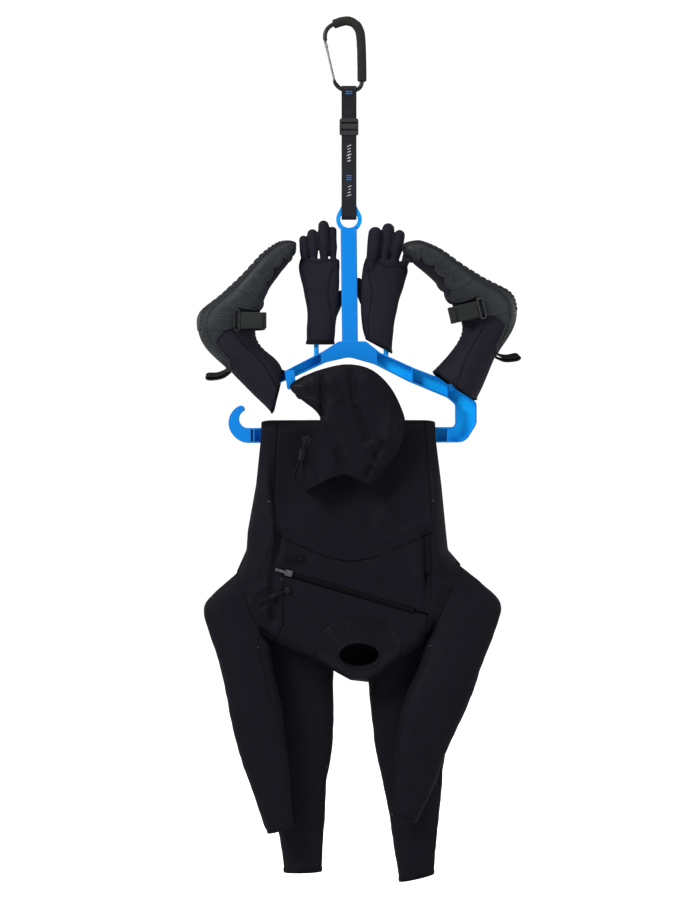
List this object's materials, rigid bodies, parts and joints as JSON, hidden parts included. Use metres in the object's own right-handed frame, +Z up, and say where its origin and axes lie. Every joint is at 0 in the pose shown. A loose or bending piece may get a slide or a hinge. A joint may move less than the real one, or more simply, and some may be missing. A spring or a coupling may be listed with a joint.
{
  "type": "full wetsuit set on a drying rack",
  "caption": "Full wetsuit with hood, gloves and boots, hung on a moulded rack by a strap and carabiner.",
  "frame": {"origin": "inside of the carabiner's top bend, where the set hangs on a rail", "axes": "+Z up; the front, with the chest and its zip, faces -Y; +X is to the right as seen from the front"},
  "size_m": [0.644, 0.174, 1.7366],
  "materials": {
    "carabiner_black": "satin",
    "bright_metal": "polished",
    "foam": "matte",
    "black_plastic": "satin",
    "webbing": "woven",
    "rack_blue": "satin",
    "glove_neoprene": "matte knit",
    "suit_neoprene": "matte knit",
    "smooth_skin": "smooth satin",
    "boot_rubber": "matte",
    "boot_strap": "ribbed matte",
    "cord": "braided"
  },
  "bodies": {
    "carabiner": {"carabiner_body": "carabiner_black", "foam_grip": "foam", "gate_rivet": "bright_metal"},
    "gate": {"carabiner_gate": "bright_metal"},
    "strap_upper": {"strap_upper_webbing": "webbing"},
    "strap_lower": {"strap_lower_webbing": "webbing"},
    "buckle": {"strap_buckle": "black_plastic"},
    "rack": {"drying_rack": "rack_blue"},
    "glove_left": {"glove_left": "glove_neoprene"},
    "glove_right": {"glove_right": "glove_neoprene"},
    "hips": {"suit_hip_inner": "suit_neoprene", "suit_hip_outer": "suit_neoprene"},
    "torso": {"neck_cord": "cord", "suit_back_panel": "suit_neoprene", "suit_belly_panel": "suit_neoprene", "suit_chest_panel": "suit_neoprene", "suit_collar": "smooth_skin", "suit_neck_flap": "suit_neoprene", "suit_side_panel_left": "suit_neoprene", "suit_side_panel_right": "suit_neoprene", "zip_end_stop": "black_plastic", "zip_garage_snap": "bright_metal", "zip_garage_tab": "webbing", "zip_tape": "webbing", "zip_teeth": "black_plastic"},
    "sleeve_left": {"suit_sleeve_left": "suit_neoprene", "sleeve_hem_left": "webbing"},
    "sleeve_right": {"suit_sleeve_right": "suit_neoprene", "sleeve_hem_right": "webbing"},
    "leg_left": {"suit_leg_left": "suit_neoprene", "leg_hem_left": "webbing"},
    "leg_right": {"suit_leg_right": "suit_neoprene", "leg_hem_right": "webbing"},
    "zip_slider": {"zip_slider": "bright_metal"},
    "zip_pull": {"zip_pull": "bright_metal"},
    "neck_toggle": {"neck_toggle": "black_plastic"},
    "hood": {"hood_cord": "cord", "hood_crown_seam": "suit_neoprene", "hood_neck_hem": "webbing", "hood_shell": "suit_neoprene", "hood_visor": "glove_neoprene"},
    "hood_cord_lock": {"hood_cord_lock": "black_plastic"},
    "boot_left": {"boot_left_heel_loop": "webbing", "boot_left_ring": "bright_metal", "boot_left_rubber": "boot_rubber", "boot_left_strap": "boot_strap", "boot_left_upper": "glove_neoprene"},
    "boot_left_tab": {"boot_left_strap_tab": "webbing"},
    "boot_right": {"boot_right_heel_loop": "webbing", "boot_right_ring": "bright_metal", "boot_right_rubber": "boot_rubber", "boot_right_strap": "boot_strap", "boot_right_upper": "glove_neoprene"},
    "boot_right_tab": {"boot_right_strap_tab": "webbing"}
  },
  "joints": [
    {"name": "gate_hinge", "type": "hinge", "parent": "carabiner", "child": "gate", "pos_m": [-0.0295, 0, -0.109], "axis": [0, 1, 0], "range_deg": [0, 26], "stiffness_Nm_per_rad": 0.05, "springref_deg": -5.73},
    {"name": "strap_swing", "type": "hinge", "parent": "carabiner", "child": "strap_upper", "pos_m": [0, 0, -0.128], "axis": [1, 0, 0], "range_deg": [-40, 40]},
    {"name": "strap_adjust", "type": "slide", "parent": "strap_upper", "child": "strap_lower", "axis": [0, 0, 1], "range_m": [-0.065, 0.01]},
    {"name": "buckle_slide", "type": "slide", "parent": "strap_upper", "child": "buckle", "axis": [0, 0, 1], "range_m": [-0.13, 0.02]},
    {"name": "rack_swing", "type": "hinge", "parent": "strap_lower", "child": "rack", "pos_m": [0, 0, -0.379], "axis": [0, 1, 0], "range_deg": [-8, 8]},
    {"name": "glove_left_lift", "type": "slide", "parent": "rack", "child": "glove_left", "axis": [-0.0896, 0, 0.996], "range_m": [0, 0.05]},
    {"name": "glove_right_lift", "type": "slide", "parent": "rack", "child": "glove_right", "axis": [0, 0, 1], "range_m": [0, 0.07]},
    {"name": "boot_left_lift", "type": "slide", "parent": "rack", "child": "boot_left", "axis": [-0.9061, 0, -0.4231], "range_m": [0, 0.033]},
    {"name": "boot_right_lift", "type": "slide", "parent": "rack", "child": "boot_right", "axis": [0.5501, 0, 0.8351], "range_m": [0, 0.07]},
    {"name": "hood_swing", "type": "hinge", "parent": "rack", "child": "hood", "pos_m": [-0.02, -0.066, -0.69], "axis": [-1, 0, 0], "range_deg": [0, 25]},
    {"name": "hood_lock_slide", "type": "slide", "parent": "hood", "child": "hood_cord_lock", "axis": [-0.1386, 0, -0.9903], "range_m": [-0.006, 0.012]},
    {"name": "suit_swing", "type": "hinge", "parent": "rack", "child": "hips", "pos_m": [0, 0, -0.818], "axis": [1, 0, 0], "range_deg": [-7, 7]},
    {"name": "torso_swing", "type": "hinge", "parent": "hips", "child": "torso", "pos_m": [0, -0.0255, -0.8187], "axis": [-1, 0, 0], "range_deg": [0, 8]},
    {"name": "leg_left_swing", "type": "hinge", "parent": "hips", "child": "leg_left", "pos_m": [-0.088, 0.0255, -0.8187], "axis": [1, 0, 0], "range_deg": [0, 12]},
    {"name": "leg_right_swing", "type": "hinge", "parent": "hips", "child": "leg_right", "pos_m": [0.088, 0.0255, -0.8187], "axis": [1, 0, 0], "range_deg": [0, 12]},
    {"name": "sleeve_left_swing", "type": "hinge", "parent": "torso", "child": "sleeve_left", "pos_m": [-0.1986, -0.026, -1.1485], "axis": [-0.9296, 0, -0.3686], "range_deg": [0, 14]},
    {"name": "sleeve_right_swing", "type": "hinge", "parent": "torso", "child": "sleeve_right", "pos_m": [0.1957, -0.026, -1.1332], "axis": [-0.9252, 0, 0.3796], "range_deg": [0, 14]},
    {"name": "zip_slide", "type": "slide", "parent": "torso", "child": "zip_slider", "axis": [0.9578, 0, -0.2873], "range_m": [0, 0.225]},
    {"name": "zip_pull_flip", "type": "hinge", "parent": "zip_slider", "child": "zip_pull", "pos_m": [-0.11938, -0.0572, -1.09159], "axis": [0.2873, 0, 0.9578], "range_deg": [0, 110]},
    {"name": "neck_toggle_slide", "type": "slide", "parent": "torso", "child": "neck_toggle", "axis": [-0.9333, 0, -0.359], "range_m": [-0.008, 0.01]},
    {"name": "boot_left_tab_peel", "type": "hinge", "parent": "boot_left", "child": "boot_left_tab", "pos_m": [-0.2155, -0.048, -0.591], "axis": [0, 0, -1], "range_deg": [0, 60]},
    {"name": "boot_right_tab_peel", "type": "hinge", "parent": "boot_right", "child": "boot_right_tab", "pos_m": [0.25557, -0.0667, -0.56994], "axis": [-0.2299, -0.0405, 0.9724], "range_deg": [0, 60]}
  ],
  "couplings": [
    {"joint": "buckle_slide", "follows": "strap_adjust", "ratio": 2}
  ]
}
